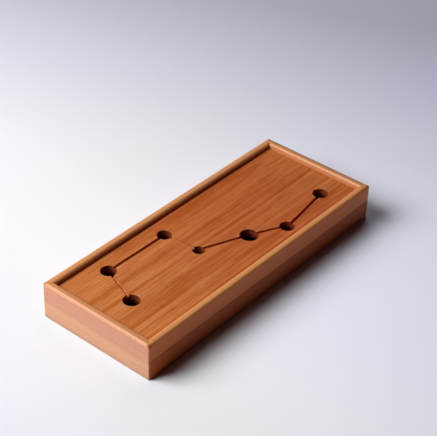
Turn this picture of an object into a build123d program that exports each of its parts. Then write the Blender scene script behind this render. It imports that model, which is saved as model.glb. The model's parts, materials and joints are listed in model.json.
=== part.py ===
from build123d import *
import math
import os

# A tea tray: a mitred bamboo box with a loose drain panel on ledgers, and a water tray under it.
# Sizes are in millimetres. X runs along the tray, Y across it, and Z up from the table.
# The origin is on the table, under the middle of the tray.

# The whole tray
tray_length = 290.0
tray_width = 115.0
tray_height = 35.0

# Side rails
rail_thickness = 7.2
rail_outer_radius = 2.5
rail_inner_radius = 3.0
rail_foot_radius = 0.6
rail_corner_radius = 1.3

# Bottom board and the groove that holds it
board_thickness = 4.0
board_lift = 2.5
groove_depth = 2.2
groove_end_gap = 0.2
groove_top_gap = 0.1

# Loose tongues in the mitres
spline_thickness = 1.5
spline_inner_wall = 1.1
spline_outer_wall = 1.9
spline_end_gap = 0.2
spline_foot_margin = 4.0
spline_head_margin = 6.0

# Ledgers that carry the panel
ledger_width = 4.0
ledger_height = 6.0
ledger_chamfer = 0.4

# Drain panel
panel_recess = 5.0
panel_thickness = 8.5
panel_end_gap = 0.3
panel_side_gap = 0.5
panel_corner_radius = 1.0
panel_edge_radius = 0.6

# Drain holes: place along and across the panel, and diameter, as shares
hole_diameter = 14.0
hole_mouth_chamfer = 0.25
hole_shares = [
    (-0.397, -0.060, 1.033),
    (-0.343, 0.336, 0.997),
    (-0.100, 0.327, 0.927),
    (-0.087, -0.026, 0.768),
    (0.075, -0.207, 1.177),
    (0.191, -0.369, 0.963),
    (0.404, -0.286, 0.998),
]

# Carved channels that join each hole to the next, each a share of its width off the centre line
channel_width = 2.7
channel_depth = 2.4
channel_offset_shares = [0.0, -0.07, 0.0, 0.14, 0.15, -0.21]

# Battens under the panel, and their screws
batten_width = 12.0
batten_thickness = 4.0
batten_place_share = 0.27
batten_end_gap = 0.6
batten_chamfer = 0.5
screw_place_share = 0.32
screw_head_diameter = 5.0
screw_head_height = 1.4
screw_shank_diameter = 2.4
screw_cover = 2.4
screw_tip_length = 1.8
screw_tip_diameter = 0.5
screw_gap = 0.05
screw_sink = 0.1
recess_length = 2.6
recess_width = 0.6
recess_depth = 0.9

# Water tray
tray_side_gap = 0.6
tray_head_gap = 0.3
liner_wall = 1.4
liner_bead = 0.9
liner_bead_height = 1.6
liner_bead_radius = 0.5
liner_draft_inset = 1.2
liner_corner_radius = 8.0
liner_floor_fillet = 2.0

# How far a cutting solid runs past the face that it cuts
overrun = 2.0

# Places worked out from the sizes above
inner_length = tray_length - 2 * rail_thickness
inner_width = tray_width - 2 * rail_thickness
board_top = board_lift + board_thickness
panel_top = tray_height - panel_recess
panel_bottom = panel_top - panel_thickness
panel_length = inner_length - 2 * panel_end_gap
panel_width = inner_width - 2 * panel_side_gap
batten_bottom = panel_bottom - batten_thickness
screw_bottom = batten_bottom + screw_sink
screw_top = panel_top - screw_cover
spline_inset = (spline_inner_wall + spline_thickness / 2) / math.sqrt(2)
spline_reach = (rail_thickness - spline_outer_wall - spline_inset) * math.sqrt(2)
spline_width = 2 * spline_reach - spline_thickness
ledge_length = inner_length - 2 * ledger_width
ledge_width = inner_width - 2 * ledger_width
batten_length = ledge_width - 2 * batten_end_gap
batten_x = panel_length * batten_place_share
screw_y = batten_length * screw_place_share
liner_length = ledge_length - 2 * tray_side_gap
liner_width = ledge_width - 2 * tray_side_gap
liner_top = batten_bottom - tray_head_gap


def block(length, width, low, high):
    """A plain block, centred on the Z axis, between two heights."""
    return Pos(0, 0, low) * extrude(Rectangle(length, width), high - low)


def edges_at(shape, height):
    """The edges of a shape that lie at one height."""
    return shape.edges().filter_by_position(Axis.Z, height, height)


def rail_section():
    """A rail's cross section, with its outer face on the Y axis and its foot on the X axis."""
    section = Pos(rail_thickness / 2, tray_height / 2) * Rectangle(rail_thickness, tray_height)
    inner_top = section.vertices().sort_by_distance((rail_thickness, tray_height))[0]
    section = fillet(inner_top, rail_inner_radius)
    outer_top = section.vertices().sort_by_distance((0, tray_height))[0]
    section = fillet(outer_top, rail_outer_radius)
    outer_foot = section.vertices().sort_by_distance((0, 0))[0]
    return fillet(outer_foot, rail_foot_radius)


def spline_plan(gap):
    """The outline of the front left tongue, seen from above, grown by a gap at its ends."""
    outline = Rectangle(spline_width + 2 * gap, spline_thickness)
    return Pos(-inner_length / 2 - spline_inset, -inner_width / 2 - spline_inset) * Rot(0, 0, -45) * outline


def spline(gap):
    """The front left tongue, or with a gap the slot that it is glued into."""
    foot = board_top + spline_foot_margin - gap
    head = tray_height - spline_head_margin + gap
    return Pos(0, 0, foot) * extrude(spline_plan(gap), head - foot)


def at_four_corners(shape):
    """A front left shape, set at the four corners and named by its corner."""
    front_right = mirror(shape, Plane.YZ)
    return {
        "front_left": shape,
        "front_right": front_right,
        "back_left": Rot(0, 0, 180) * front_right,
        "back_right": Rot(0, 0, 180) * shape,
    }


def mitre_wedge(length, width):
    """A prism with two mitred ends that covers the rail on the -Y side of a frame."""
    half_length = length / 2 + overrun
    outside = -width / 2 - overrun
    depth = rail_thickness + 2 * overrun
    outline = Polyline(
        (-half_length, outside),
        (half_length, outside),
        (half_length - depth, outside + depth),
        (-half_length + depth, outside + depth),
        close=True,
    )
    wedge = extrude(make_face(outline), tray_height + 2 * overrun)
    return Pos(0, 0, -overrun) * wedge


def rail(length, width):
    """The rail on the -Y side of a frame, mitred at both ends."""
    end = Plane(origin=(-length / 2, -width / 2, 0), x_dir=(0, 1, 0), z_dir=(1, 0, 0))
    return extrude(end * rail_section(), length) & mitre_wedge(length, width)


def rails():
    """The four mitred rails, rounded at the corners, grooved for the board and slotted for the tongues."""
    envelope = block(tray_length, tray_width, 0, tray_height)
    envelope = fillet(envelope.edges().filter_by(Axis.Z), rail_corner_radius)
    groove = block(inner_length + 2 * groove_depth, inner_width + 2 * groove_depth,
                   board_lift, board_top + groove_top_gap)
    front = (rail(tray_length, tray_width) & envelope) - groove
    left = (Rot(0, 0, -90) * rail(tray_width, tray_length) & envelope) - groove
    for slot in at_four_corners(spline(spline_end_gap)).values():
        front = front - slot
        left = left - slot
    return {
        "rail_front": front,
        "rail_back": Rot(0, 0, 180) * front,
        "rail_left": left,
        "rail_right": Rot(0, 0, 180) * left,
    }


def bottom_board():
    """The thin board in the rails' groove."""
    length = inner_length + 2 * (groove_depth - groove_end_gap)
    width = inner_width + 2 * (groove_depth - groove_end_gap)
    return block(length, width, board_lift, board_top)


def ledgers():
    """The strips inside the rails, the short ones between the long ones."""
    long_strip = Box(inner_length, ledger_width, ledger_height)
    short_strip = Box(ledger_width, ledge_width, ledger_height)
    long_foot = long_strip.edges().filter_by(Axis.X).group_by(Axis.Z)[0].sort_by(Axis.Y)[-1]
    long_strip = chamfer(long_foot, ledger_chamfer)
    short_foot = short_strip.edges().filter_by(Axis.Y).group_by(Axis.Z)[0].sort_by(Axis.X)[-1]
    short_strip = chamfer(short_foot, ledger_chamfer)
    middle = panel_bottom - ledger_height / 2
    front = Pos(0, -(inner_width - ledger_width) / 2, middle) * long_strip
    left = Pos(-(inner_length - ledger_width) / 2, 0, middle) * short_strip
    return {
        "ledger_front": front,
        "ledger_back": Rot(0, 0, 180) * front,
        "ledger_left": left,
        "ledger_right": Rot(0, 0, 180) * left,
    }


def hole_places():
    """Each drain hole's centre and diameter."""
    places = []
    for along_share, across_share, diameter_share in hole_shares:
        centre = Vector(along_share * panel_length, across_share * panel_width)
        places.append((centre, diameter_share * hole_diameter))
    return places


def drain_hole(centre, diameter):
    """A through hole with a chamfered mouth, as the solid to be cut away."""
    radius = diameter / 2
    bore = Pos(centre.X, centre.Y, panel_bottom - overrun) * extrude(
        Circle(radius), panel_thickness + 2 * overrun)
    mouth = Cone(radius, radius + hole_mouth_chamfer + overrun, hole_mouth_chamfer + overrun)
    mouth_middle = panel_top + (overrun - hole_mouth_chamfer) / 2
    return bore + Pos(centre.X, centre.Y, mouth_middle) * mouth


def channel(start, end, offset_share):
    """A round-bottomed channel from one hole to the next, as the solid to be cut away."""
    run = end - start
    turn = math.degrees(math.atan2(run.Y, run.X))
    radius = channel_width / 2
    bottom = Rot(0, 90, 0) * Cylinder(radius, run.length)
    sides_height = channel_depth - radius + overrun
    sides = Pos(0, 0, sides_height / 2) * Box(run.length, channel_width, sides_height)
    middle = (start + end) / 2
    place = Pos(middle.X, middle.Y, panel_top - channel_depth + radius) * Rot(0, 0, turn)
    return place * Pos(0, channel_width * offset_share, 0) * (bottom + sides)


def screw_places():
    """The four screws' places under the panel."""
    return [(x, y) for x in (-batten_x, batten_x) for y in (-screw_y, screw_y)]


def screw_body(gap):
    """One countersunk screw, head down and on the Z axis, or with a gap the hole for it."""
    head = screw_head_diameter / 2 + gap
    shank = screw_shank_diameter / 2 + gap
    tip = screw_tip_diameter / 2 + gap
    outline = Polyline(
        (0, screw_bottom),
        (head, screw_bottom),
        (shank, screw_bottom + screw_head_height),
        (shank, screw_top - screw_tip_length),
        (tip, screw_top + gap),
        (0, screw_top + gap),
        close=True,
    )
    return revolve(make_face(Plane.XZ * outline), Axis.Z)


def screw_holes():
    """What the screws need cut out of the battens and the panel."""
    low = batten_bottom - overrun
    sink = extrude(Circle(screw_head_diameter / 2 + screw_gap), screw_sink + overrun)
    hole = screw_body(screw_gap) + Pos(0, 0, low) * sink
    return [Pos(x, y, 0) * hole for x, y in screw_places()]


def batten_screws():
    """The four screws, each with a cross recess in its head."""
    slot = Box(recess_length, recess_width, 2 * recess_depth)
    cross = slot + Rot(0, 0, 90) * slot
    screw = screw_body(0) - Pos(0, 0, screw_bottom) * cross
    return Compound([Pos(x, y, 0) * screw for x, y in screw_places()])


def top_panel():
    """The drain panel, with its holes and channels."""
    panel = block(panel_length, panel_width, panel_bottom, panel_top)
    panel = fillet(panel.edges().filter_by(Axis.Z), panel_corner_radius)
    panel = fillet(edges_at(panel, panel_top), panel_edge_radius)
    places = hole_places()
    for (start, _), (end, _), offset_share in zip(places, places[1:], channel_offset_shares):
        panel = panel - channel(start, end, offset_share)
    for centre, diameter in places:
        panel = panel - drain_hole(centre, diameter)
    for hole in screw_holes():
        panel = panel - hole
    return panel


def batten():
    """One cross strip in the middle of the tray, before it is moved to its place."""
    strip = block(batten_width, batten_length, batten_bottom, panel_bottom)
    return chamfer(edges_at(strip, batten_bottom), batten_chamfer)


def battens():
    """The two cross strips under the panel, drilled for the screws."""
    strips = {}
    for name, x in (("batten_left", -batten_x), ("batten_right", batten_x)):
        strip = Pos(x, 0, 0) * batten()
        for hole in screw_holes():
            strip = strip - hole
        strips[name] = strip
    return strips


def liner_outline(inset, radius, height):
    """The water tray's outline at one height, inset from its widest size."""
    outline = RectangleRounded(liner_length - 2 * inset, liner_width - 2 * inset, radius)
    return Pos(0, 0, height) * outline


def liner_form(inset, radius, floor):
    """A block with sloping sides, from a floor up to the water tray's mouth."""
    foot = liner_outline(inset + liner_draft_inset, radius, floor)
    mouth = liner_outline(inset, radius, liner_top)
    return loft([foot, mouth])


def liner_rim():
    """The rounded bead around the water tray's mouth, before the hollow is cut."""
    rim_bottom = liner_top - liner_bead_height
    rim = extrude(liner_outline(0, liner_corner_radius + liner_bead, rim_bottom), liner_bead_height)
    return fillet(edges_at(rim, rim_bottom) + edges_at(rim, liner_top), liner_bead_radius)


def water_tray():
    """The moulded water tray: a drafted shell with a bead around its mouth."""
    floor = board_top + liner_wall
    outer = liner_form(liner_bead, liner_corner_radius, board_top)
    outer = fillet(edges_at(outer, board_top), liner_floor_fillet + liner_wall)
    hollow = liner_form(liner_bead + liner_wall, liner_corner_radius - liner_wall, floor)
    hollow = fillet(edges_at(hollow, floor), liner_floor_fillet)
    return outer + liner_rim() - hollow


def all_pieces():
    """Every piece of the tray, by its node's name."""
    pieces = {}
    pieces.update(rails())
    pieces["bottom_board"] = bottom_board()
    for corner, tongue in at_four_corners(spline(0)).items():
        pieces["spline_" + corner] = tongue
    pieces.update(ledgers())
    pieces["top_panel"] = top_panel()
    pieces.update(battens())
    pieces["batten_screws"] = batten_screws()
    pieces["water_tray"] = water_tray()
    return pieces


os.makedirs("parts", exist_ok=True)
for node, piece in all_pieces().items():
    export_step(piece, "parts/" + node + ".step")
    print(node, round(piece.volume))
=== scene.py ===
# %% [markdown]
# # A gongfu tea tray of laminated bamboo
# Tea is brewed on a small wooden tray: spilt water runs along shallow channels into seven round
# drain holes and drops into a plastic tray that hides inside the box. The box is four mitred rails
# around a thin floor board, and the drain board on top lies loose, so both inner parts lift out.
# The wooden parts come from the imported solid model. Loading it first fixes every size, and this
# lesson only adds what a solid model lacks: light, grain, lacquer, wear and small fittings.

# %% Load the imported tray
import json
import math

import bmesh
import bpy
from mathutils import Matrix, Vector


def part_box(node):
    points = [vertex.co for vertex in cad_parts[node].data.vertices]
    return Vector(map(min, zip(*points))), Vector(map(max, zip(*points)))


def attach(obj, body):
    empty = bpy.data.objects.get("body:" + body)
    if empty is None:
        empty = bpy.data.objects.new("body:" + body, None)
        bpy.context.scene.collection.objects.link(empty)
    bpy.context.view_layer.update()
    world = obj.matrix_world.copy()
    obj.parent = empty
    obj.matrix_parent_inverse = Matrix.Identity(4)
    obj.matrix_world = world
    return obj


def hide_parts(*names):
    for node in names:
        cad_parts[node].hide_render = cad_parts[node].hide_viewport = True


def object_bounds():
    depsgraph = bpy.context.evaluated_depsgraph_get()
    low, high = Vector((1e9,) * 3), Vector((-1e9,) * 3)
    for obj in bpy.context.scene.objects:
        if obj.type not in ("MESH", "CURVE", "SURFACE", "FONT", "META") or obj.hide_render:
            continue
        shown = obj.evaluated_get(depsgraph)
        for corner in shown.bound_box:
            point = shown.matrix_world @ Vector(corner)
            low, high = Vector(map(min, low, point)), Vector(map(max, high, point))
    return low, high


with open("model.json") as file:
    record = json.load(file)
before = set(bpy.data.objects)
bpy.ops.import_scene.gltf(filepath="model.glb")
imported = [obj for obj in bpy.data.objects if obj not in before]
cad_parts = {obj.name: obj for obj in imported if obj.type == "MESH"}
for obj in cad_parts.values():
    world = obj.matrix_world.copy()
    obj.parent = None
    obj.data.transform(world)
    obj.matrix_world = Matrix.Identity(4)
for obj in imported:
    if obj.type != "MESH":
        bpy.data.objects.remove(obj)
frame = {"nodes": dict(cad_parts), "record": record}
solid_box = [list(corner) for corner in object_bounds()]
nodes = frame["nodes"]
mm = 0.001
print("nodes:", len(nodes), "box:", [[round(v, 4) for v in corner] for corner in solid_box], "m")

# %% [markdown]
# ## Where the camera stands
# The picture was taken from above the near left corner, with a long lens, so that the edges of the
# box stay almost parallel. A place, three angles and a lens length say all of it. They come from
# the edges of the box that the picture shows, which no hand placing would match as well.

# %% Camera
camera_place = (-0.71141, -0.57677, 0.71690)
camera_angles = (53.8739, -1.6955, -49.8866)
lens_length, film_width = 111.651, 36.0

camera_data = bpy.data.cameras.new("camera")
camera_data.sensor_width = film_width
camera_data.lens = lens_length
camera_data.clip_start, camera_data.clip_end = 0.01, 50.0
camera = bpy.data.objects.new("camera", camera_data)
camera.location = camera_place
camera.rotation_euler = [math.radians(angle) for angle in camera_angles]
bpy.context.scene.collection.objects.link(camera)
bpy.context.scene.camera = camera
print("camera to tray:", round(camera.location.length, 3), "m")

# %% [markdown]
# ## Writing a finish in short lines
# Every finish here is a tree of nodes, and a tree written out in full hides its idea behind
# plumbing. A small helper adds one node, sets or links its inputs and hands back its output, so
# that a finish reads like a recipe.

# %% Helper for node trees
class Recipe:
    """One finish, sky or shape, as a tree of nodes."""

    def __init__(self, tree):
        self.tree = tree
        self.tree.nodes.clear()

    def add(self, kind, out=0, inputs=None, **settings):
        node = self.tree.nodes.new(kind)
        for name, value in settings.items():
            setattr(node, name, value)
        for name, value in (inputs or {}).items():
            if isinstance(value, bpy.types.NodeSocket):
                self.tree.links.new(value, node.inputs[name])
            else:
                node.inputs[name].default_value = value
        return node.outputs[out]

    def calc(self, way, a, b=0.0, c=0.0):
        return self.add("ShaderNodeMath", operation=way, inputs={0: a, 1: b, 2: c})

    def ramp(self, value, low, high, start=0.0, end=1.0):
        """start where value is low, end where it is high, and a smooth way between."""
        spans = {"Value": value, "From Min": low, "From Max": high, "To Min": start, "To Max": end}
        return self.add("ShaderNodeMapRange", interpolation_type="SMOOTHSTEP", inputs=spans)

    def blend(self, share, first, second, way="MIX"):
        return self.add("ShaderNodeMix", out=2, data_type="RGBA", blend_type=way,
                        inputs={0: share, 6: first, 7: second})

    def point(self, x, y, z):
        return self.add("ShaderNodeCombineXYZ", inputs={"X": x, "Y": y, "Z": z})

    def split(self, vector):
        return self.add("ShaderNodeSeparateXYZ", inputs={0: vector}).node.outputs

    def noise(self, where, scale, detail=2.0, rough=0.5, swirl=0.0):
        return self.add("ShaderNodeTexNoise", inputs={
            "Vector": where, "Scale": scale, "Detail": detail, "Roughness": rough,
            "Distortion": swirl})

    def mix(self, base, part, amount):
        """base plus amount times how far part is above or below its middle."""
        return self.calc("MULTIPLY_ADD", self.calc("SUBTRACT", part, 0.5), amount, base)

    def looked_at(self):
        """1 where the camera looks, also by a reflection, and 0 where light shines on things."""
        rays = self.add("ShaderNodeLightPath").node.outputs
        seen = self.calc("MAXIMUM", rays["Is Camera Ray"], rays["Is Glossy Ray"])
        return self.calc("MAXIMUM", seen, rays["Is Transmission Ray"])

    def distance(self, a, b):
        return self.add("ShaderNodeVectorMath", out="Value", operation="DISTANCE",
                        inputs={0: a, 1: b})

    def finish(self, shader, kind="ShaderNodeOutputMaterial"):
        self.tree.links.new(shader, self.tree.nodes.new(kind).inputs["Surface"])


def new_finish(name):
    finish = bpy.data.materials.new(name)
    finish.use_nodes = True
    return finish, Recipe(finish.node_tree)


def tone(red, green, blue):
    return (red, green, blue, 1.0)


# %% [markdown]
# ## The table under the tray
# The tray stands on a plain pale lavender sheet, bright near the window side and grey far from it.
# The lamp makes most of that fall. The rest is painted shade in the sheet's colour, which comes
# next.
# A flat square, far larger than the picture, is all the shape that it needs.

# %% Floor sheet
sheet_half = 9.0
sheet_mesh = bpy.data.meshes.new("floor_sheet")
corners = [(-sheet_half, -sheet_half, 0), (sheet_half, -sheet_half, 0),
           (sheet_half, sheet_half, 0), (-sheet_half, sheet_half, 0)]
sheet_mesh.from_pydata(corners, [], [(0, 1, 2, 3)])
floor = bpy.data.objects.new("floor_sheet", sheet_mesh)
bpy.context.scene.collection.objects.link(floor)
print("floor sheet:", 2 * sheet_half, "m across")

# %% [markdown]
# ## The colour of the sheet
# The part of the fall that the lamp doesn't make is painted shade in the sheet's colour. The sheet
# could be painted as a picture, but slopes fade without a visible edge. Each one below says how fast
# it fades: to the back, beyond the left part of the tray, to the right, and to the right front.
# Their sum is held between a darkest and a palest value and becomes a factor. Towards the right and
# the front, a cooler tint is painted light for the bluer light there. Beside the left face the sheet
# is painted a little greener and darker, against the warm light that the bamboo throws there. Far
# from the tray it turns into an even glow, which only the camera and reflections see: a view from
# any other side then has a pale ground as well, and the light on the tray stays.

# %% Sheet colour
to_back, to_left, to_right, to_right_front = -0.27, 0.80, -1.80, -1.10
in_middle, left_start, darkest, palest = -0.004, 80 * mm, -0.5, 0.04
far_glow = tone(0.62, 0.61, 0.67)
shaded_sheet, bright_sheet = tone(0.795, 0.778, 0.905), tone(0.80, 0.804, 0.832)
bluer_light_tint, green_tint = tone(1.0, 1.0, 1.09), tone(0.90, 0.965, 0.985)

floor_finish, r = new_finish("floor_sheet")
where = r.add("ShaderNodeTexCoord", out="Object")
apart = r.add("ShaderNodeVectorMath", out="Value", operation="LENGTH", inputs={0: where})
x, y, z = r.split(where)[:3]
x_right = r.calc("MAXIMUM", x, 0.0)
# The slopes paint the rest of the lamp's fall as shade.
slope = r.calc("MULTIPLY_ADD", y, to_back, in_middle)
x_left = r.calc("MINIMUM", r.calc("ADD", x, left_start), 0.0)
slope = r.calc("MULTIPLY_ADD", x_left, to_left, slope)
right_slope = r.calc("MULTIPLY_ADD", x_right, to_right, r.calc("MULTIPLY", y, to_right_front))
slope = r.calc("MULTIPLY_ADD", x_right, right_slope, slope)
slope = r.calc("MINIMUM", r.calc("MAXIMUM", slope, darkest), palest)
sheet_colour = r.blend(r.ramp(slope, -0.35, 0.0), shaded_sheet, bright_sheet)
sheet_colour = r.blend(1.0, sheet_colour, r.calc("EXPONENT", slope), "MULTIPLY")
# Painted light: a cooler tint for the bluer light towards the right and the front.
bluer_light = r.calc("MULTIPLY", r.ramp(x, -180 * mm, 80 * mm), r.ramp(y, -20 * mm, 170 * mm, 1.0, 0.0))
sheet_colour = r.blend(bluer_light, sheet_colour, bluer_light_tint, "MULTIPLY")
# Painted shade beside the left face, against the warm light that the bamboo throws there.
outside_box = r.ramp(x, -140 * mm, -130 * mm, 1.0, 0.0)
beside = r.calc("MULTIPLY", r.ramp(x, -174 * mm, -147 * mm), outside_box)
beside = r.calc("MULTIPLY", beside, r.ramp(r.calc("ABSOLUTE", y), 50 * mm, 78 * mm, 1.0, 0.0))
sheet_colour = r.blend(beside, sheet_colour, green_tint, "MULTIPLY")
paper = r.add("ShaderNodeBsdfDiffuse", inputs={"Color": sheet_colour})
glow = r.add("ShaderNodeEmission", inputs={"Color": far_glow, "Strength": 1.0})
far = r.calc("MULTIPLY", r.ramp(apart, 0.75, 1.5), r.looked_at())
r.finish(r.add("ShaderNodeMixShader", inputs={0: far, 1: paper, 2: glow}))
sheet_mesh.materials.append(floor_finish)
print("sheet fades between factors", round(math.exp(darkest), 2), "and", round(math.exp(palest), 2))

# %% [markdown]
# ## Window light
# One large soft lamp stands behind the left end of the tray and high above it. Its size sets how
# slowly the shadow along the front fades, and its distance how much darker the right end is. A
# weak second lamp behind the right end stands for a pale wall there: it only lifts the shadow
# beyond that end. Square lamps were chosen over a picture of a room, because each can be moved and
# dimmed by a number.

# %% Lamps
def soft_lamp(name, way, distance, size, strength, shine=True):
    """A square lamp aimed at the tray. strength 1 lights a white sheet there to white."""
    way = Vector(way).normalized()
    data = bpy.data.lights.new(name, "AREA")
    data.shape = "SQUARE"
    data.size = size
    data.energy = strength * math.pi ** 2 * distance ** 2 / way.z
    lamp = bpy.data.objects.new(name, data)
    lamp.location = way * distance
    lamp.rotation_euler = way.to_track_quat("Z", "Y").to_euler()
    lamp.visible_camera = False
    lamp.visible_glossy = shine
    bpy.context.scene.collection.objects.link(lamp)
    print(name, "lamp:", round(data.energy, 1), "W at", [round(v, 2) for v in lamp.location])


lamp_distance = 1.3
soft_lamp("window", (-0.556, 0.455, 0.718), lamp_distance, size=0.84, strength=1.06)
soft_lamp("pale_wall", (0.62, 0.44, 0.65), lamp_distance, size=0.75, strength=0.105, shine=False)

# %% [markdown]
# ## The sky
# A bright sky would fill the holes and the shadow with light. So it adds almost nothing, and the
# front face is lit by what the sheet throws back. Only the camera and reflections see a backdrop,
# which joins the far sheet at the horizon and gets darker higher up.

# %% Sky
sky = bpy.data.worlds.new("sky")
sky.use_nodes = True
bpy.context.scene.world = sky
r = Recipe(sky.node_tree)
height = r.split(r.add("ShaderNodeTexCoord", out="Generated"))["Z"]
backdrop = r.blend(r.ramp(height, 0.10, 0.55), far_glow, tone(0.10, 0.10, 0.11))
faint = tone(0.004, 0.004, 0.005)
sky_colour = r.blend(r.looked_at(), faint, backdrop)
r.finish(r.add("ShaderNodeBackground", inputs={"Color": sky_colour}), "ShaderNodeOutputWorld")
bpy.context.scene.view_settings.view_transform = "Standard"
print("sky on the tray:", faint[:3], "at the horizon, as seen:", far_glow[:3])

# %% [markdown]
# ## Bamboo, from culm to board
# A bamboo stem is split into strips, steamed until its sugar turns brown, planed and glued side by
# side or in layers. A picture laid on the faces would smear round the holes and edges. A solid
# pattern, worked out from the place in the wood itself, runs through every cut as the real grain
# does. First the recipe needs to know in which strip a place lies, and how near a glue line.

# %% Strips side by side, and layers
def strips_beside(r, across, width, offset):
    """Strips of about this width. Returns a chance number for each strip, and the glue lines."""
    spans = {"W": r.calc("ADD", across, 0.31 + offset), "Scale": 1 / width, "Randomness": 0.55}
    on_a_line = {"voronoi_dimensions": "1D", "inputs": spans}
    cell = r.add("ShaderNodeTexVoronoi", feature="F1", **on_a_line).node
    edge = r.add("ShaderNodeTexVoronoi", feature="DISTANCE_TO_EDGE", **on_a_line)
    chance = r.add("ShaderNodeSeparateColor", inputs={0: cell.outputs["Color"]})
    return chance, r.ramp(r.calc("MULTIPLY", edge, width), 0.02 * mm, 0.16 * mm, 1.0, 0.0)


def layers_above(r, up, seam):
    """0 below the seam and 1 above it, and its glue line."""
    layer = r.calc("GREATER_THAN", up, seam)
    gap = r.calc("ABSOLUTE", r.calc("SUBTRACT", up, seam))
    return layer, r.ramp(gap, 0.03 * mm, 0.18 * mm, 1.0, 0.0)


# %% [markdown]
# ## What the fibres look like
# Several things overlap in steamed bamboo. Long bands and broad flames of darker and lighter brown
# run along the strip, and fine streaks and hairs lie in them. Short dark dashes are the veins of
# the stem, cut at a slant. All are the same noise as for a cloud, but pulled out along the fibres,
# with a slow sway so that no line is straight. Every quarter of a metre a strip also has a
# knuckle, where the stem had a joint: a narrow dark mark straight across the fibres.

# %% Fibres, flames and veins
class Grain:
    """Patterns that follow the fibres. along, across and up are places in metres."""

    def __init__(self, r, along, across, up, shift):
        self.r, self.along, self.shift = r, along, shift
        slow = r.point(r.calc("MULTIPLY_ADD", along, 14.0, shift),
                       r.calc("MULTIPLY", across, 30.0), r.calc("MULTIPLY", up, 30.0))
        wave = r.noise(slow, scale=1.0, detail=1.0)
        sway = r.calc("MULTIPLY", r.calc("SUBTRACT", wave, 0.5), 2.2 * mm)
        self.side, self.rise = r.calc("ADD", across, sway), r.calc("ADD", up, sway)
        self.flames = self.pattern(46 * mm, 3.4 * mm, detail=3.0, rough=0.55, swirl=0.9)
        self.bands = self.pattern(320 * mm, 3.5 * mm, detail=2.0, rough=0.55)
        self.streaks = self.pattern(38 * mm, 0.9 * mm, detail=3.0, rough=0.6)
        self.hairs = self.pattern(9 * mm, 0.26 * mm, detail=1.0)
        dash = self.stretched(10 * mm, 0.9 * mm)
        cell = r.add("ShaderNodeTexVoronoi", inputs={"Vector": dash, "Scale": 1.0})
        self.veins = r.ramp(cell, 0.14, 0.32, 1.0, 0.0)
        bend = r.calc("MULTIPLY_ADD", wave, 5 * mm, r.calc("MULTIPLY_ADD", shift, 0.137, along))
        apart = r.calc("PINGPONG", bend, 125 * mm)
        self.knuckles = r.ramp(apart, 0.6 * mm, 2.2 * mm, 1.0, 0.0)

    def stretched(self, length, width):
        """A point in which the fibres are length long and width wide."""
        r = self.r
        return r.point(r.calc("MULTIPLY_ADD", self.along, 1 / length, self.shift),
                       r.calc("DIVIDE", self.side, width), r.calc("DIVIDE", self.rise, width))

    def pattern(self, length, width, detail, rough=0.5, swirl=0.0):
        return self.r.noise(self.stretched(length, width), 1.0, detail, rough, swirl)

    def depth_of_brown(self, bands, flames, streaks, hairs):
        """About 0 where the wood is pale and 1 where it is deep. Each number weighs one pattern."""
        share = self.r.mix(0.5, self.bands, bands)
        share = self.r.mix(share, self.flames, flames)
        share = self.r.mix(share, self.streaks, streaks)
        return self.r.mix(share, self.hairs, hairs)


# %% [markdown]
# ## Lacquer over the fibres
# The wood is sealed with a thin satin lacquer, which fills most of the grain. What is left is a
# shallow relief, deepest in the veins and glue lines, and a gloss that is a little uneven along the
# fibres. The reflection is kept weak, because rubbed lacquer on open grain hardly hazes the brown.

# %% Satin lacquer
def lacquered(r, colour, grain, glue, dull, relief=1.0):
    """The wood's own colour under lacquer. relief 1 is well filled, and more is more open."""
    streaks, veins = r.calc("MULTIPLY", grain.streaks, 0.5), r.calc("MULTIPLY", grain.veins, 0.6)
    height = r.calc("SUBTRACT", r.calc("SUBTRACT", streaks, veins), glue)
    skin = r.add("ShaderNodeBump", inputs={
        "Strength": 0.22 * relief, "Distance": 0.05 * mm, "Height": height})
    return r.add("ShaderNodeBsdfPrincipled", inputs={
        "Base Color": colour, "Roughness": r.mix(dull, grain.streaks, 0.16), "Normal": skin,
        "IOR": 1.5, "Specular IOR Level": 0.34})


# %% [markdown]
# ## The drain board
# The board is a row of strips about as wide as a thumb, and it darkens towards its right end. A
# strip could be a piece of its own, but glued and planed flush it has no edge left, so a number for
# each strip is enough: it moves the pattern and shifts the brown a little.

# %% Strips and fibres of the drain board
strip_width, strip_shift = 17 * mm, 7.3
panel_yellow, panel_red = tone(0.452, 0.138, 0.0305), tone(0.406, 0.094, 0.0165)
pale_fibre, deep_fibre = tone(1.23, 1.48, 1.95), tone(0.79, 0.53, 0.08)
vein_brown, glue_brown = tone(0.17, 0.035, 0.008), tone(0.13, 0.03, 0.008)

finish, r = new_finish("panel_bamboo")
x, y, z = r.split(r.add("ShaderNodeTexCoord", out="Object"))[:3]
strip, glue = strips_beside(r, y, strip_width, 0.0)
grain = Grain(r, x, y, z, r.calc("MULTIPLY", strip, strip_shift))
share = grain.depth_of_brown(bands=2.0, flames=1.3, streaks=1.7, hairs=1.1)
share = r.mix(share, strip, 0.10)
redder = r.calc("SUBTRACT", r.ramp(x, -150 * mm, 60 * mm), r.ramp(x, 90 * mm, 140 * mm, 0.0, 0.5))
colour = r.blend(redder, panel_yellow, panel_red)
colour = r.blend(1.0, colour, r.blend(share, pale_fibre, deep_fibre), "MULTIPLY")
colour = r.blend(r.calc("MULTIPLY", grain.veins, 0.22), colour, vein_brown)
colour = r.blend(r.calc("MULTIPLY", glue, 0.30), colour, glue_brown)
colour = r.blend(r.calc("MULTIPLY", grain.knuckles, 0.10), colour, glue_brown)

# %% [markdown]
# ## Where the drain holes are
# The walls of the holes are painted with light and shade in another way than the channels. The
# imported record gives a box for each hole, the square that fits in it with a little room, so the
# recipe can tell a hole from a channel without a mask painted by hand.

# %% Walls of the drain holes
panel_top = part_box("top_panel")[1][2]
square_room = 0.15 * mm
openings = {o["name"]: o["box_m"] for o in frame["record"]["physics"]["openings"]}
holes = [box for name, box in sorted(openings.items()) if name.startswith("drain_hole")]


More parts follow.
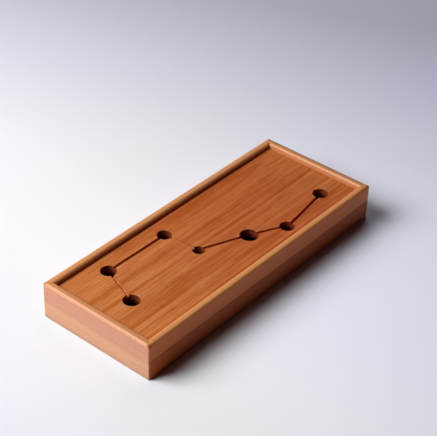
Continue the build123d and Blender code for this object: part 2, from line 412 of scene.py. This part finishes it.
def hole_wall(r, x, y):
    """1 on and near the walls of the drain holes, and 0 away from them."""
    place, nearest = r.point(x, y, 0.0), 1.0
    for low, high in holes:
        middle = ((low[0] + high[0]) / 2, (low[1] + high[1]) / 2, 0.0)
        radius = ((high[0] - low[0]) / 2 + square_room) * math.sqrt(2)
        nearest = r.calc("MINIMUM", nearest, r.calc("SUBTRACT", r.distance(place, middle), radius))
    return r.ramp(nearest, 0.25 * mm, 0.6 * mm, 1.0, 0.0)


print("drain holes:", len(holes), "in a face at", round(panel_top / mm, 1), "mm")

# %% [markdown]
# ## Painted shade and light in the cuts
# The channels are a deep red brown with a paler lip, and the walls of the holes get darker towards
# the bottom. The deep red brown is painted shade: a channel that runs along the board shows only the
# wall that stands in shadow, where light thrown about inside turns it red. A channel across the
# board shows a wall that faces the lamp, and that wall gets a painted highlight. The walls of the
# holes get painted light and shade by the side they face, and painted shade towards the bottom. How
# deep a place lies below the face, and which way it faces, is all that the recipe needs to know.

# %% Painted shade and light in channels and holes
pale_lip, deep_shade = tone(0.56, 0.22, 0.075), tone(0.36, 0.22, 0.20)
# Painted shade for cut faces that point across the board, and a painted highlight for cut walls that
# point along it, of which the one in sight faces the lamp.
shaded_cut, lit_cut = tone(0.79, 0.34, 0.23), tone(1.08, 1.06, 1.10)
# Painted light for the side of a hole wall in shade, and painted shade for the side the lamp lights.
shaded_wall, lit_wall = tone(0.84, 0.88, 0.88), tone(0.44, 0.265, 0.19)


def dress(finish, *names):
    for name in names:
        for slot in nodes[name].material_slots:
            slot.material = finish
    print(finish.name, "on", ", ".join(names))


depth = r.calc("SUBTRACT", panel_top, z)
in_hole = hole_wall(r, x, y)
below_edge = r.ramp(depth, 0.01 * mm, 0.12 * mm)
lip = r.calc("MULTIPLY", below_edge, r.ramp(depth, 0.2 * mm, 0.5 * mm, 1.0, 0.0))
lip = r.calc("MULTIPLY", lip, r.calc("SUBTRACT", 1.0, in_hole))
colour = r.blend(r.calc("MULTIPLY", lip, 0.4), colour, pale_lip)
cut = r.ramp(depth, 0.3 * mm, 1.4 * mm)
facing = r.split(r.add("ShaderNodeNewGeometry", out="True Normal"))
faces_along_x = r.ramp(r.calc("ABSOLUTE", facing["X"]), 0.25, 0.6)
# Painted shade and painted highlight in the cuts, by the way a cut face points.
colour = r.blend(cut, colour, r.blend(faces_along_x, shaded_cut, lit_cut), "MULTIPLY")
wall = r.calc("MULTIPLY", in_hole, r.ramp(depth, 0.03 * mm, 0.4 * mm))
# Hole walls: painted light on the side in shade, painted shade on the side the lamp lights.
wall_tone = r.blend(faces_along_x, shaded_wall, lit_wall)
colour = r.blend(wall, colour, wall_tone, "MULTIPLY")
# Painted shade, darker towards the bottom of the holes.
colour = r.blend(r.ramp(depth, 2.5 * mm, 8.5 * mm), colour, deep_shade, "MULTIPLY")
r.finish(lacquered(r, colour, grain, glue, r.calc("MULTIPLY_ADD", cut, 0.2, 0.42)))
dress(finish, "top_panel")

# %% [markdown]
# ## The rails
# Each rail is two layers of bamboo, and their glue line runs round the box at half height. Hands
# rub the top pale and smooth, and the ends of the box are a lighter brown, partly a painted sheen.
# Wear could be painted on by hand. Here each kind is a band of places instead, so that it stays
# where hands go, and the painted light and shade on the rails are bands of places too.
# So the recipe first measures where any place lies on its rail.

# %% Places on a rail
end_x, end_y, rim = solid_box[1]


class RailPlaces:
    """How far along its rail a place lies, how far in from the outer face, and in which layer."""

    def __init__(self, name, along_x, seam, offset):
        self.finish, self.r = new_finish(name)
        r, self.seam = self.r, seam
        x, self.y, self.z = r.split(r.add("ShaderNodeTexCoord", out="Object"))[:3]
        self.along, across = (x, self.y) if along_x else (self.y, x)
        self.low_end = -end_x if along_x else -end_y
        self.in_x = r.calc("SUBTRACT", end_x, r.calc("ABSOLUTE", x))
        self.in_y = r.calc("SUBTRACT", end_y, r.calc("ABSOLUTE", self.y))
        self.inward = self.in_y if along_x else self.in_x
        self.layer, self.glue = layers_above(r, self.z, seam)
        self.grain = Grain(r, r.calc("ADD", self.along, offset), across, self.z,
                           r.calc("MULTIPLY", self.layer, strip_shift))
        self.share = self.grain.depth_of_brown(bands=0.9, flames=0.7, streaks=0.6, hairs=0.4)

    def near_low_end(self, whole, gone, change):
        """change close to the low end of the rail, and 0 past the second distance."""
        return self.r.ramp(self.along, self.low_end + whole, self.low_end + gone, change, 0.0)


print("rails end at", [round(v / mm, 1) for v in (end_x, end_y, rim)], "mm")

# %% [markdown]
# ## The outer face of a rail
# The two layers were cut from different stems, so each has its own brown, given as a pale and a
# deep tone between which the grain chooses. The face is a little darker at its foot, painted shade
# where it meets the sheet, and a little darker under the glue line. Either layer may be dulled or
# lifted towards the low end of the rail. The lift of the front rail's lower layer is painted light,
# which the sheet throws back near the corner, where the tray's shadow is narrow.

# %% Outer face
def outer_face(at, upper, lower, level, under):
    """level dulls or lifts the upper and the lower layer towards the low end of the rail, where a
    lift is painted light thrown back by the sheet, and under darkens the lower one below the glue
    line. The foot is darkened as painted shade."""
    r = at.r
    in_lower = r.calc("SUBTRACT", 1.0, at.layer)
    # Painted light: the lower layer lifted near the corner, where the sheet throws more light back.
    lifted = r.calc("MULTIPLY", in_lower, at.near_low_end(3 * mm, 35 * mm, level[1] - 1.0))
    dulled = r.calc("MULTIPLY", at.layer, at.near_low_end(15 * mm, 165 * mm, level[0] - 1.0))
    below = r.ramp(at.z, at.seam - 4 * mm, at.seam - 1 * mm, 0.0, -under)
    # Painted shade at the foot, where the face meets the sheet.
    foot = r.ramp(at.z, 1 * mm, 7 * mm, 0.86, 1.0)
    foot_shade_and_under_seam = r.calc("ADD", r.calc("MULTIPLY", below, in_lower), foot)
    bright = r.calc("ADD", r.calc("ADD", lifted, dulled), foot_shade_and_under_seam)
    face = r.blend(at.layer, r.blend(at.share, *lower), r.blend(at.share, *upper))
    return r.blend(1.0, face, bright, "MULTIPLY")


# %% [markdown]
# ## The rubbed top and the painted shade inside
# The top is rubbed to the pale wood, further down on the inner side, where fingers lift the board
# out. Below it the inner face gets painted shade, the deep red of a face lit only by light thrown
# from the drain board. The right rail's inner face looks at the lamp, and it gets painted light
# instead. Along the outer edge of the top, the left rail gets a painted highlight and the right rail
# painted shade. Where two bands meet, the change is a ramp less than a millimetre wide, because wear
# on lacquer has a soft but narrow edge.

# %% Top and inside
inner_tones = tone(0.58, 0.185, 0.062), tone(0.47, 0.125, 0.035)
rubbed_tones = tone(0.655, 0.285, 0.103), tone(0.545, 0.205, 0.068)


def top_and_inside(at, face, top, edges, inner_shading, inside):
    """top tints the rubbed top. The next tint is painted shade on the inner face below the rim, and
    painted light on the right rail. inside is that face's pair of tones. Each of edges tints the top
    from the outer side inwards: all of it as far as the first number, and none of it past the
    second.
    On the left rail this is a painted highlight, and on the right rail painted shade."""
    r = at.r
    colour = r.blend(r.ramp(at.inward, 0.6 * mm, 2.0 * mm), face, r.blend(at.share, *inside))
    below_rim = r.ramp(at.z, rim - 4 * mm, rim - 1.8 * mm, 1.0, 0.0)
    # Painted shade on the inner face below the rim, and a painted light on the right rail.
    inner_face_band = r.calc("MULTIPLY", r.ramp(at.inward, 5.5 * mm, 7.0 * mm), below_rim)
    colour = r.blend(inner_face_band, colour, inner_shading, "MULTIPLY")
    inner_half = r.ramp(at.inward, 3.4 * mm, 3.8 * mm)
    height = r.calc("MULTIPLY_ADD", inner_half, 1.2 * mm, at.z)
    rubbed_wood = r.blend(1.0, r.blend(at.share, *rubbed_tones), top, "MULTIPLY")
    colour = r.blend(r.ramp(height, rim - 1.7 * mm, rim - 0.4 * mm), colour, rubbed_wood)
    near_top = r.ramp(at.z, rim - 3.2 * mm, rim - 2 * mm)
    # Painted highlight and painted shade along the outer edge, on the left and right rails.
    for whole, gone, tint in edges:
        band = r.calc("MULTIPLY", r.ramp(at.inward, whole, gone, 1.0, 0.0), near_top)
        colour = r.blend(band, colour, tint, "MULTIPLY")
    return colour


# %% [markdown]
# ## Mitres and worn tips
# A dark hairline shows where two rails meet, just where a place is as far from one face as from the
# other. The tips of the corners are knocked most, above all in front, and the lacquer there has
# gone dull. A ball round the tip finds them without a mask.

# %% Mitres and tips
worn_through = tone(0.30, 0.075, 0.012)
tip_middle = (1.2 * mm, 1.2 * mm, rim - 1.1 * mm)


def mitres_and_tips(at, colour):
    """Adds the veins and glue lines as well. Returns the colour, and how dull the lacquer is."""
    r = at.r
    colour = r.blend(r.calc("MULTIPLY", at.grain.veins, 0.25), colour, vein_brown)
    colour = r.blend(r.calc("MULTIPLY", at.glue, 0.35), colour, glue_brown)
    off_mitre = r.calc("ABSOLUTE", r.calc("SUBTRACT", at.in_x, at.in_y))
    mitre = r.ramp(off_mitre, 0.05 * mm, 0.22 * mm, 1.0, 0.0)
    colour = r.blend(r.calc("MULTIPLY", mitre, 0.6), colour, glue_brown)
    from_tip = r.distance(r.point(at.in_x, at.in_y, at.z), tip_middle)
    tip = r.ramp(from_tip, 1.2 * mm, 2.4 * mm, 1.0, 0.0)
    wear = r.calc("MULTIPLY", tip, r.ramp(at.y, -20 * mm, 20 * mm, 0.7, 0.2))
    colour = r.blend(wear, colour, worn_through)
    smooth = r.ramp(at.z, rim - 4 * mm, rim - 1 * mm, 0.46, 0.36)
    return colour, r.calc("MULTIPLY_ADD", tip, 0.45, smooth)


# %% [markdown]
# ## Four rails, four browns
# All rails share one recipe and differ only in numbers. The long front rail is the reddest, partly
# painted shade: its face stands in shade, lit only by the sheet, and its tones hold that deep red.
# The short ends are a paler brown, partly a painted sheen from the lamp that faces the left end. The
# back and right rails start elsewhere in the grain, so that no two rails repeat each other.

# %% The four rails
plain, inner_shade_tone = tone(1.0, 1.0, 1.0), tone(0.88, 0.66, 0.45)
# The front tones hold painted shade and the end tones a painted sheen, both partly the wood's own
# brown.
front_upper_shaded = tone(0.70, 0.178, 0.030), tone(0.575, 0.130, 0.015)
front_lower_shaded = tone(0.43, 0.084, 0.008), tone(0.32, 0.055, 0.003)
end_upper_sheen = tone(0.68, 0.318, 0.192), tone(0.57, 0.25, 0.148)
end_lower_sheen = tone(0.715, 0.37, 0.212), tone(0.597, 0.285, 0.152)
back_upper = tone(0.60, 0.235, 0.095), tone(0.49, 0.17, 0.062)
back_lower = tone(0.52, 0.175, 0.062), tone(0.41, 0.125, 0.04)
right_inside = tone(0.60, 0.25, 0.115), tone(0.49, 0.185, 0.078)
front_edge = (0.9 * mm, 2.1 * mm, tone(1.05, 0.97, 0.68))
# Painted highlight along the left rail's outer top edge, and painted shade over the right rail's
# outer top, which turns away from the lamp.
left_edge_highlight = (0.8 * mm, 1.5 * mm, tone(1.16, 1.18, 1.20))
right_edge_shade = [(4.6 * mm, 6.6 * mm, tone(0.76, 0.80, 0.95)),
               (2.2 * mm, 4.0 * mm, tone(0.70, 0.74, 0.80))]


def rail_finish(name, along_x, seam, upper, lower, offset=0.0, level=(1.0, 1.0), under=0.0,
                top=plain, edges=(), inner_shading=inner_shade_tone, inside=inner_tones):
    at = RailPlaces(name, along_x, seam, offset)
    face = outer_face(at, upper, lower, level, under)
    colour, dull = mitres_and_tips(at, top_and_inside(at, face, top, edges, inner_shading, inside))
    at.r.finish(lacquered(at.r, colour, at.grain, at.glue, dull))
    return at.finish


dress(rail_finish("rail_bamboo_front", True, 19 * mm, front_upper_shaded, front_lower_shaded,
                  level=(0.92, 1.22), under=0.10, edges=[front_edge]), "rail_front")
dress(rail_finish("rail_bamboo_back", True, 18.5 * mm, back_upper, back_lower, 0.7), "rail_back")
dress(rail_finish("rail_bamboo_left", False, 17 * mm, end_upper_sheen, end_lower_sheen,
                  level=(0.97, 0.98), top=tone(0.86, 0.86, 0.90), edges=[left_edge_highlight]), "rail_left")
dress(rail_finish("rail_bamboo_right", False, 18 * mm, end_upper_sheen, end_lower_sheen, 0.7, edges=right_edge_shade,
                  inner_shading=tone(1.14, 1.12, 1.04), inside=right_inside), "rail_right")

# %% [markdown]
# ## Wood that stays out of sight
# The floor board, the strips that carry the drain board, the battens under it and the tongues in
# the mitres are plain sealed bamboo. They show when the inner parts are lifted out, so they get the
# same grain, paler and duller, because neither lacquer nor tea has reached them.

# %% Hidden wood
def plain_wood(name, turn, pale, deep, strip_width=0.0):
    """turn gives which of x, y, z the fibres follow, which lies across them and which is up."""
    finish, r = new_finish(name)
    places = r.split(r.add("ShaderNodeTexCoord", out="Object"))
    along, across, up = (places["XYZ".index(axis)] for axis in turn)
    strip, glue = strips_beside(r, across, strip_width, 0.2) if strip_width else (0.0, 0.0)
    grain = Grain(r, along, across, up, r.calc("MULTIPLY", strip, strip_shift))
    share = grain.depth_of_brown(bands=1.0, flames=0.5, streaks=0.8, hairs=0.5)
    if strip_width:
        share = r.mix(share, strip, 0.4)
    colour = r.blend(share, pale, deep)
    colour = r.blend(r.calc("MULTIPLY", grain.veins, 0.4), colour, vein_brown)
    colour = r.blend(r.calc("MULTIPLY", glue, 0.4), colour, glue_brown)
    colour = r.blend(r.calc("MULTIPLY", grain.knuckles, 0.3), colour, glue_brown)
    r.finish(lacquered(r, colour, grain, glue, dull=0.6, relief=1.6))
    return finish


board_pale, board_deep = tone(0.60, 0.28, 0.11), tone(0.48, 0.18, 0.06)
strip_pale, strip_deep = tone(0.62, 0.30, 0.12), tone(0.50, 0.20, 0.07)
dress(plain_wood("board_bamboo", "XYZ", board_pale, board_deep, 20 * mm), "bottom_board")
dress(plain_wood("strip_bamboo_long", "XYZ", strip_pale, strip_deep), "ledger_front", "ledger_back")
dress(plain_wood("strip_bamboo_cross", "YXZ", strip_pale, strip_deep),
      "ledger_left", "ledger_right", "batten_left", "batten_right")
dress(plain_wood("strip_bamboo_upright", "ZXY", strip_pale, strip_deep),
      "spline_front_left", "spline_front_right", "spline_back_left", "spline_back_right")

# %% [markdown]
# ## Shapes made by a rule
# The water tray is one line carried round a rectangle with round corners, and a screw is one line
# carried round its own axis. Both could be pushed and pulled into shape by hand. Written as a tree
# of geometry nodes, each keeps its sizes as named inputs, so that a thicker wall or a finer thread
# is one number.

# %% Helpers for shape trees
def shape_tree(name, sizes):
    """An empty tree with one input for each size. Returns its recipe and its inputs."""
    tree = bpy.data.node_groups.new(name, "GeometryNodeTree")
    tree.interface.new_socket("Geometry", in_out="INPUT", socket_type="NodeSocketGeometry")
    tree.interface.new_socket("Geometry", in_out="OUTPUT", socket_type="NodeSocketGeometry")
    for label, size in sizes.items():
        kind = "NodeSocketInt" if isinstance(size, int) else "NodeSocketFloat"
        tree.interface.new_socket(label, in_out="INPUT", socket_type=kind)
    r = Recipe(tree)
    return r, r.add("NodeGroupInput").node.outputs


def end_shape(r, form, finish):
    """Gives the form its finish and makes the tree hand over real faces."""
    form = r.add("GeometryNodeSetShadeSmooth", inputs={"Geometry": form, "Shade Smooth": True})
    form = r.add("GeometryNodeRealizeInstances", inputs={"Geometry": form})
    form = r.add("GeometryNodeSetMaterial", inputs={"Geometry": form, "Material": finish})
    r.tree.links.new(form, r.tree.nodes.new("NodeGroupOutput").inputs["Geometry"])


# %% [markdown]
# ## A net to wrap
# Both shapes start as a flat net of rows and steps. A rule moves each point of the net to a place
# in space, and points that fall together are joined. A skin wrapped this way has no open edge, as
# a real piece has none, and no two faces that cross.

# %% Helpers for nets
def grid_steps(r, rows, steps):
    """A flat net of rows and steps, and for each of its points its row and its step, from 0."""
    net = r.add("GeometryNodeMeshGrid", inputs={
        "Size X": 1.0, "Size Y": 1.0, "Vertices X": rows, "Vertices Y": steps})
    at = r.split(r.add("GeometryNodeInputPosition"))

    def counted(place, count):
        spaces = r.calc("SUBTRACT", count, 1.0)
        return r.calc("ROUND", r.calc("MULTIPLY", r.calc("ADD", place, 0.5), spaces))

    return net, counted(at["X"], rows), counted(at["Y"], steps)


def closed_net(r, net, place):
    """The net moved to its places, turned outside out, with its seam and its two ends closed."""
    form = r.add("GeometryNodeSetPosition", inputs={"Geometry": net, "Position": place})
    form = r.add("GeometryNodeFlipFaces", inputs={"Mesh": form})
    return r.add("GeometryNodeMergeByDistance", inputs={"Geometry": form, "Distance": 0.002 * mm})


# %% [markdown]
# ## Keeping the result
# A tree would run again after each change. Here it runs once on its points, and its result is
# kept as a plain mesh. That mesh rides on the same body as the solid whose place it takes. Its open
# edges and its volume are counted at once, because they show a fault that a picture hides.

# %% Helper that keeps a shape
def grown(name, points, r, sizes, body, node):
    """Runs a tree on some points, keeps the result as a plain mesh and hands it over."""
    start = bpy.data.meshes.new(name + "_start")
    start.from_pydata(points, [(n, n + 1) for n in range(len(points) - 1)], [])
    piece = bpy.data.objects.new(name, start)
    bpy.context.scene.collection.objects.link(piece)
    shape = piece.modifiers.new("shape", "NODES")
    shape.node_group = r.tree
    for socket in r.tree.interface.items_tree:
        if socket.in_out == "INPUT" and socket.name in sizes:
            shape[socket.identifier] = sizes[socket.name]
    piece.update_tag()
    graph = bpy.context.evaluated_depsgraph_get()
    mesh = bpy.data.meshes.new_from_object(piece.evaluated_get(graph))
    piece.modifiers.remove(shape)
    piece.data = mesh
    mesh.set_sharp_from_angle(angle=math.radians(38))
    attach(piece, body)
    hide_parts(node)
    whole = bmesh.new()
    whole.from_mesh(mesh)
    open_edges = sum(1 for edge in whole.edges if len(edge.link_faces) != 2)
    volume = whole.calc_volume(signed=True) * 1e6
    print(f"{name}: {len(mesh.polygons)} faces, {open_edges} open edges, {volume:.3f} cm3")
    whole.free()


# %% [markdown]
# ## The water tray
# A small black moulded tray catches the water. Moulded parts have walls that lean a little, round
# inner corners and a bead round the mouth, which stiffens the edge and gives fingers a hold. The
# line through one wall is worked out here as a row of points: how far in from the widest outline,
# how round the corner is there, and how high. The tree carries that line round.

# %% Water tray line
tray_low, tray_high = (Vector(corner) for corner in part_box("water_tray"))
wall, bead, bead_height, bead_round = 1.4 * mm, 0.9 * mm, 1.6 * mm, 0.5 * mm
lean, corner, inner_round = 1.2 * mm, 8 * mm, 2 * mm
floor_steps, bead_steps = 6, 4
tray_sizes = {"Half Length": tray_high.x, "Half Width": tray_high.y, "Corner Steps": 10}
spine = tray_high.y


def side_of_tray(inset, floor, round_off):
    """One side of the wall, from the middle of the floor up to the mouth."""
    points = [(spine, 0.0, floor)]
    for step in range(floor_steps + 1):
        angle = math.radians(90 * step / floor_steps)
        height = floor + round_off * (1 - math.cos(angle))
        sunk = inset + lean * (tray_high.z - height) / (tray_high.z - floor)
        short = round_off * (1 - math.sin(angle))
        points.append((sunk + short, corner + bead - inset - short, height))
    return points


def rounding(middle_inset, middle_height, radius, first, last):
    """A quarter of the bead's round, as points of the same kind."""
    points = []
    for step in range(bead_steps + 1):
        angle = math.radians(first + (last - first) * step / bead_steps)
        inset = middle_inset - radius * math.cos(angle)
        points.append((inset, corner + bead - inset, middle_height + radius * math.sin(angle)))
    return points


under_bead = tray_high.z - bead_height
line = side_of_tray(bead, tray_low.z, inner_round + wall)
line.append((bead + lean * bead_height / (tray_high.z - tray_low.z), corner, under_bead))
line += rounding(bead_round, under_bead + bead_round, bead_round, -90, 0)
line += rounding(bead_round, tray_high.z - bead_round, bead_round, 0, 90)
line += rounding(bead + wall - bead_round, tray_high.z - bead_round, bead_round, 90, 180)
line += reversed(side_of_tray(bead + wall, tray_low.z + wall, inner_round))
print("points in the tray's line:", len(line))

# %% [markdown]
# ## What moulded plastic looks like
# The tray came out of a mould with a fine eroded skin, which looks almost black and dull. Water
# polishes the floor a little, tea leaves a thin brown film and drops dry to pale rings, and fingers
# buff the bead. Only the plastic shows through the drain holes, so it stays dark.

# %% Water tray plastic
plastic, r = new_finish("water_tray_plastic")
where = r.add("ShaderNodeTexCoord", out="Object")
height = r.split(where)["Z"]
pebble = r.noise(where, scale=1700.0, detail=2.0)
cloud = r.noise(where, scale=38.0, detail=3.0, rough=0.6)
drops = r.add("ShaderNodeTexVoronoi", inputs={
    "Vector": where, "Scale": 70.0, "Randomness": 1.0}).node.outputs
drop_size = r.calc("MULTIPLY", r.add("ShaderNodeSeparateColor", inputs={0: drops["Color"]}), 0.4)
edge = r.calc("SUBTRACT", r.mix(drops["Distance"], cloud, 0.3), drop_size)
ring = r.ramp(r.calc("ABSOLUTE", edge), 0.01, 0.06, 1.0, 0.0)
on_floor = r.ramp(height, tray_low.z + wall + 0.1 * mm, tray_low.z + wall + 1.5 * mm, 1.0, 0.0)
film = r.calc("MULTIPLY", on_floor, r.ramp(cloud, 0.45, 0.62))
colour = r.blend(pebble, tone(0.011, 0.011, 0.012), tone(0.019, 0.019, 0.020))
colour = r.blend(r.calc("MULTIPLY", film, 0.55), colour, tone(0.040, 0.021, 0.010))
dried = r.calc("MULTIPLY", r.calc("MULTIPLY", ring, film), 0.30)
colour = r.blend(dried, colour, tone(0.085, 0.07, 0.055))
buffed = r.ramp(height, tray_high.z - 1.2 * mm, tray_high.z - 0.3 * mm)
dull = r.mix(r.calc("MULTIPLY_ADD", buffed, -0.14, 0.56), cloud, 0.18)
dull = r.calc("SUBTRACT", dull, r.calc("MULTIPLY", film, 0.10))
skin = r.add("ShaderNodeBump", inputs={"Strength": 0.25, "Distance": 0.03 * mm, "Height": pebble})
r.finish(r.add("ShaderNodeBsdfPrincipled", inputs={
    "Base Color": colour, "Roughness": dull, "Normal": skin, "Specular IOR Level": 0.45}))
print("tea film from", round((tray_low.z + wall) / mm, 1), "mm up, on the floor of the tray")

# %% [markdown]
# ## Carrying the line round
# Every row of the net is one point of the line, and every step goes on round the tray. Four corners
# take the steps, and the straight sides follow by themselves, because nothing bends between two
# corners. In the middle of the floor the net closes on a short ridge line.

# %% Water tray
r, size = shape_tree("moulded_tray", tray_sizes)
line_points = size["Geometry"]
count = r.add("GeometryNodeAttributeDomainSize", component="MESH", inputs={0: line_points})
per_corner = r.calc("ADD", size["Corner Steps"], 1.0)
net, row, step = grid_steps(r, count, r.calc("MULTIPLY_ADD", per_corner, 4.0, 1.0))
at_row = r.add("GeometryNodeSampleIndex", data_type="FLOAT_VECTOR", domain="POINT", inputs={
    "Geometry": line_points, "Value": r.add("GeometryNodeInputPosition"), "Index": row})
inset, round_there, height = r.split(at_row)[:3]
which = r.calc("FLOOR", r.calc("DIVIDE", r.calc("ADD", step, 0.001), per_corner))
step_there = r.calc("SUBTRACT", step, r.calc("MULTIPLY", which, per_corner))
within = r.calc("DIVIDE", step_there, size["Corner Steps"])
quarter = math.pi / 2
turn = r.calc("MULTIPLY", r.calc("ADD", which, within), quarter)
middle = r.calc("MULTIPLY_ADD", which, quarter, quarter / 2)


def round_one_way(way, half):
    """The place along x or y: out to the corner's middle, and round it."""
    to_middle = r.calc("SUBTRACT", half, r.calc("ADD", inset, round_there))
    side = r.calc("SIGN", r.calc(way, middle))
    around = r.calc("MULTIPLY", r.calc(way, turn), round_there)
    return r.calc("MULTIPLY_ADD", side, to_middle, around)


x = round_one_way("COSINE", size["Half Length"])
y = round_one_way("SINE", size["Half Width"])
end_shape(r, closed_net(r, net, r.point(x, y, height)), plastic)
grown("water_tray_moulded", line, r, tray_sizes, "liner", "water_tray")

# %% [markdown]
# ## The steel of the screws
# The battens under the drain board are held by four small stainless screws. A lathe leaves fine
# rings that follow the outline, so the steel's gloss changes with the way along that outline, which
# the shape writes down at each of its points. A little smear of handling lies over it.

# %% Screw steel
steel, r = new_finish("screw_steel")
where = r.add("ShaderNodeTexCoord", out="Object")
marks = r.add("ShaderNodeAttribute", out="Fac", attribute_name="along_outline")
turning = r.noise(r.point(r.calc("MULTIPLY", marks, 9000.0), 0.0, 0.0), scale=1.0, detail=2.0)
smear = r.noise(where, scale=900.0, detail=2.0)
colour = r.blend(smear, tone(0.58, 0.57, 0.55), tone(0.46, 0.45, 0.43))
dull = r.mix(r.mix(0.30, turning, 0.22), smear, 0.18)
skin = r.add("ShaderNodeBump", inputs={"Strength": 0.12, "Distance": 0.02 * mm, "Height": turning})
r.finish(r.add("ShaderNodeBsdfPrincipled", inputs={
    "Base Color": colour, "Metallic": 1.0, "Roughness": dull, "Normal": skin}))

# %% [markdown]
# ## The outline of a screw
# A countersunk wood screw has a flat head, a cone, and a core with a thread that climbs one pitch
# for each turn, down to the point. That is a rule for the radius at any height and turn, and a net
# wrapped round the axis follows it. A thread swept along a spiral would have to be joined to the
# core.

# %% Screw outline
screw_low, screw_high = (Vector(corner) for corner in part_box("batten_screws"))
head = 2.5 * mm
screw_sizes = {"Head Radius": head, "Head Height": 1.4 * mm, "Core Radius": 0.85 * mm,
               "Crest Radius": 1.2 * mm, "Pitch": 1.1 * mm, "Length": screw_high.z - screw_low.z,
               "Cross Length": 2.6 * mm, "Cross Width": 0.6 * mm, "Cross Depth": 0.9 * mm,
               "Rows": 96, "Steps": 40}
thread_start, thread_full = 2.4 * mm, 3.2 * mm
edge_round, tip_radius, point_slope = 0.05 * mm, 0.05 * mm, 0.62

r, size = shape_tree("cross_head_screw", screw_sizes)
net, row, step = grid_steps(r, size["Rows"], size["Steps"])
share = r.calc("DIVIDE", r.calc("SUBTRACT", row, 2.0), r.calc("SUBTRACT", size["Rows"], 4.0))
height = r.calc("MULTIPLY", r.calc("MINIMUM", r.calc("MAXIMUM", share, 0.0), 1.0), size["Length"])
turn = r.calc("DIVIDE", step, r.calc("SUBTRACT", size["Steps"], 1.0))
turn = r.calc("MULTIPLY", turn, 2 * math.pi)
cone_width = r.calc("SUBTRACT", size["Head Radius"], size["Core Radius"])
cone_fall = r.calc("DIVIDE", cone_width, size["Head Height"])
cone = r.calc("SUBTRACT", size["Head Radius"], r.calc("MULTIPLY", height, cone_fall))
turned = r.calc("DIVIDE", turn, 2 * math.pi)
climb = r.calc("SUBTRACT", r.calc("DIVIDE", height, size["Pitch"]), turned)
ridge = r.ramp(r.calc("PINGPONG", climb, 0.5), 0.22, 0.5)
ridge = r.calc("MULTIPLY", ridge, r.ramp(height, thread_start, thread_full))
thread_depth = r.calc("SUBTRACT", size["Crest Radius"], size["Core Radius"])
thread = r.calc("MULTIPLY_ADD", ridge, thread_depth, size["Core Radius"])
to_tip = r.calc("SUBTRACT", size["Length"], height)
point_fall = r.calc("MULTIPLY_ADD", to_tip, point_slope, tip_radius)
radius = r.calc("MINIMUM", r.calc("MAXIMUM", cone, thread), point_fall)
print("screw:", round(screw_sizes["Length"] / mm, 1), "mm long, head", 2 * head / mm, "mm wide")

# %% [markdown]
# ## Closing the net
# The first and the last row have no radius, so that the net closes on the axis. The rows next to
# the face of the head are set in and down by a trace, which rounds its rim and catches the light.

# %% Closed screw
inside = r.calc("MULTIPLY", r.calc("GREATER_THAN", row, 0.5), r.calc("LESS_THAN", share, 1.001))
rim_step = r.calc("MULTIPLY", r.calc("LESS_THAN", row, 1.5), edge_round)
radius = r.calc("MULTIPLY", r.calc("SUBTRACT", radius, rim_step), inside)
rim_row = r.calc("COMPARE", row, 2.0, 0.1)
height = r.calc("ADD", height, r.calc("MULTIPLY", rim_row, edge_round))
x = r.calc("MULTIPLY", radius, r.calc("COSINE", turn))
y = r.calc("MULTIPLY", radius, r.calc("SINE", turn))
screw = closed_net(r, net, r.point(x, y, height))
print("screw net:", screw_sizes["Rows"], "rows of", screw_sizes["Steps"], "steps")

# %% [markdown]
# ## The cross in the head
# The cross is cut out by two tapered blades, one turned by a quarter and a little taller, so that
# no two of their faces lie in one plane, which a cut can't bear. The screws are alike, so one is
# made and set on four points.

# %% Cross and four screws
blade_taper, blade_growth = 0.45, (1.0, 1.0, 1.06)
blade_height = r.calc("MULTIPLY", size["Cross Depth"], 2.0)
blade = r.add("GeometryNodeMeshCube", inputs={
    "Size": r.point(size["Cross Length"], size["Cross Width"], blade_height)})
at = r.split(r.add("GeometryNodeInputPosition"))
sunk = r.calc("MULTIPLY", r.calc("DIVIDE", at["Z"], size["Cross Depth"]), blade_taper)
narrowed = r.calc("MULTIPLY", at["X"], r.calc("SUBTRACT", 1.0, sunk))
blade = r.add("GeometryNodeSetPosition", inputs={
    "Geometry": blade, "Position": r.point(narrowed, at["Y"], at["Z"])})
crossed = r.add("GeometryNodeTransform", inputs={
    "Geometry": blade, "Rotation": (0.0, 0.0, quarter), "Scale": blade_growth})
cut = screw
for tool in (blade, crossed):
    cut = r.add("GeometryNodeMeshBoolean", operation="DIFFERENCE", solver="EXACT",
                inputs={"Mesh 1": cut, "Mesh 2": tool})
at = r.split(r.add("GeometryNodeInputPosition"))
square_x, square_y = r.calc("MULTIPLY", at["X"], at["X"]), r.calc("MULTIPLY", at["Y"], at["Y"])
from_axis = r.calc("SQRT", r.calc("ADD", square_x, square_y))
cut = r.add("GeometryNodeStoreNamedAttribute", data_type="FLOAT", domain="POINT", inputs={
    "Geometry": cut, "Name": "along_outline", "Value": r.calc("ADD", from_axis, at["Z"])})
four = r.add("GeometryNodeInstanceOnPoints", inputs={"Points": size["Geometry"], "Instance": cut})
end_shape(r, four, steel)
spots = [(x, y, screw_low.z) for x in (screw_low.x + head, screw_high.x - head)
         for y in (screw_low.y + head, screw_high.y - head)]
grown("batten_screws_cut", spots, r, screw_sizes, "panel", "batten_screws")
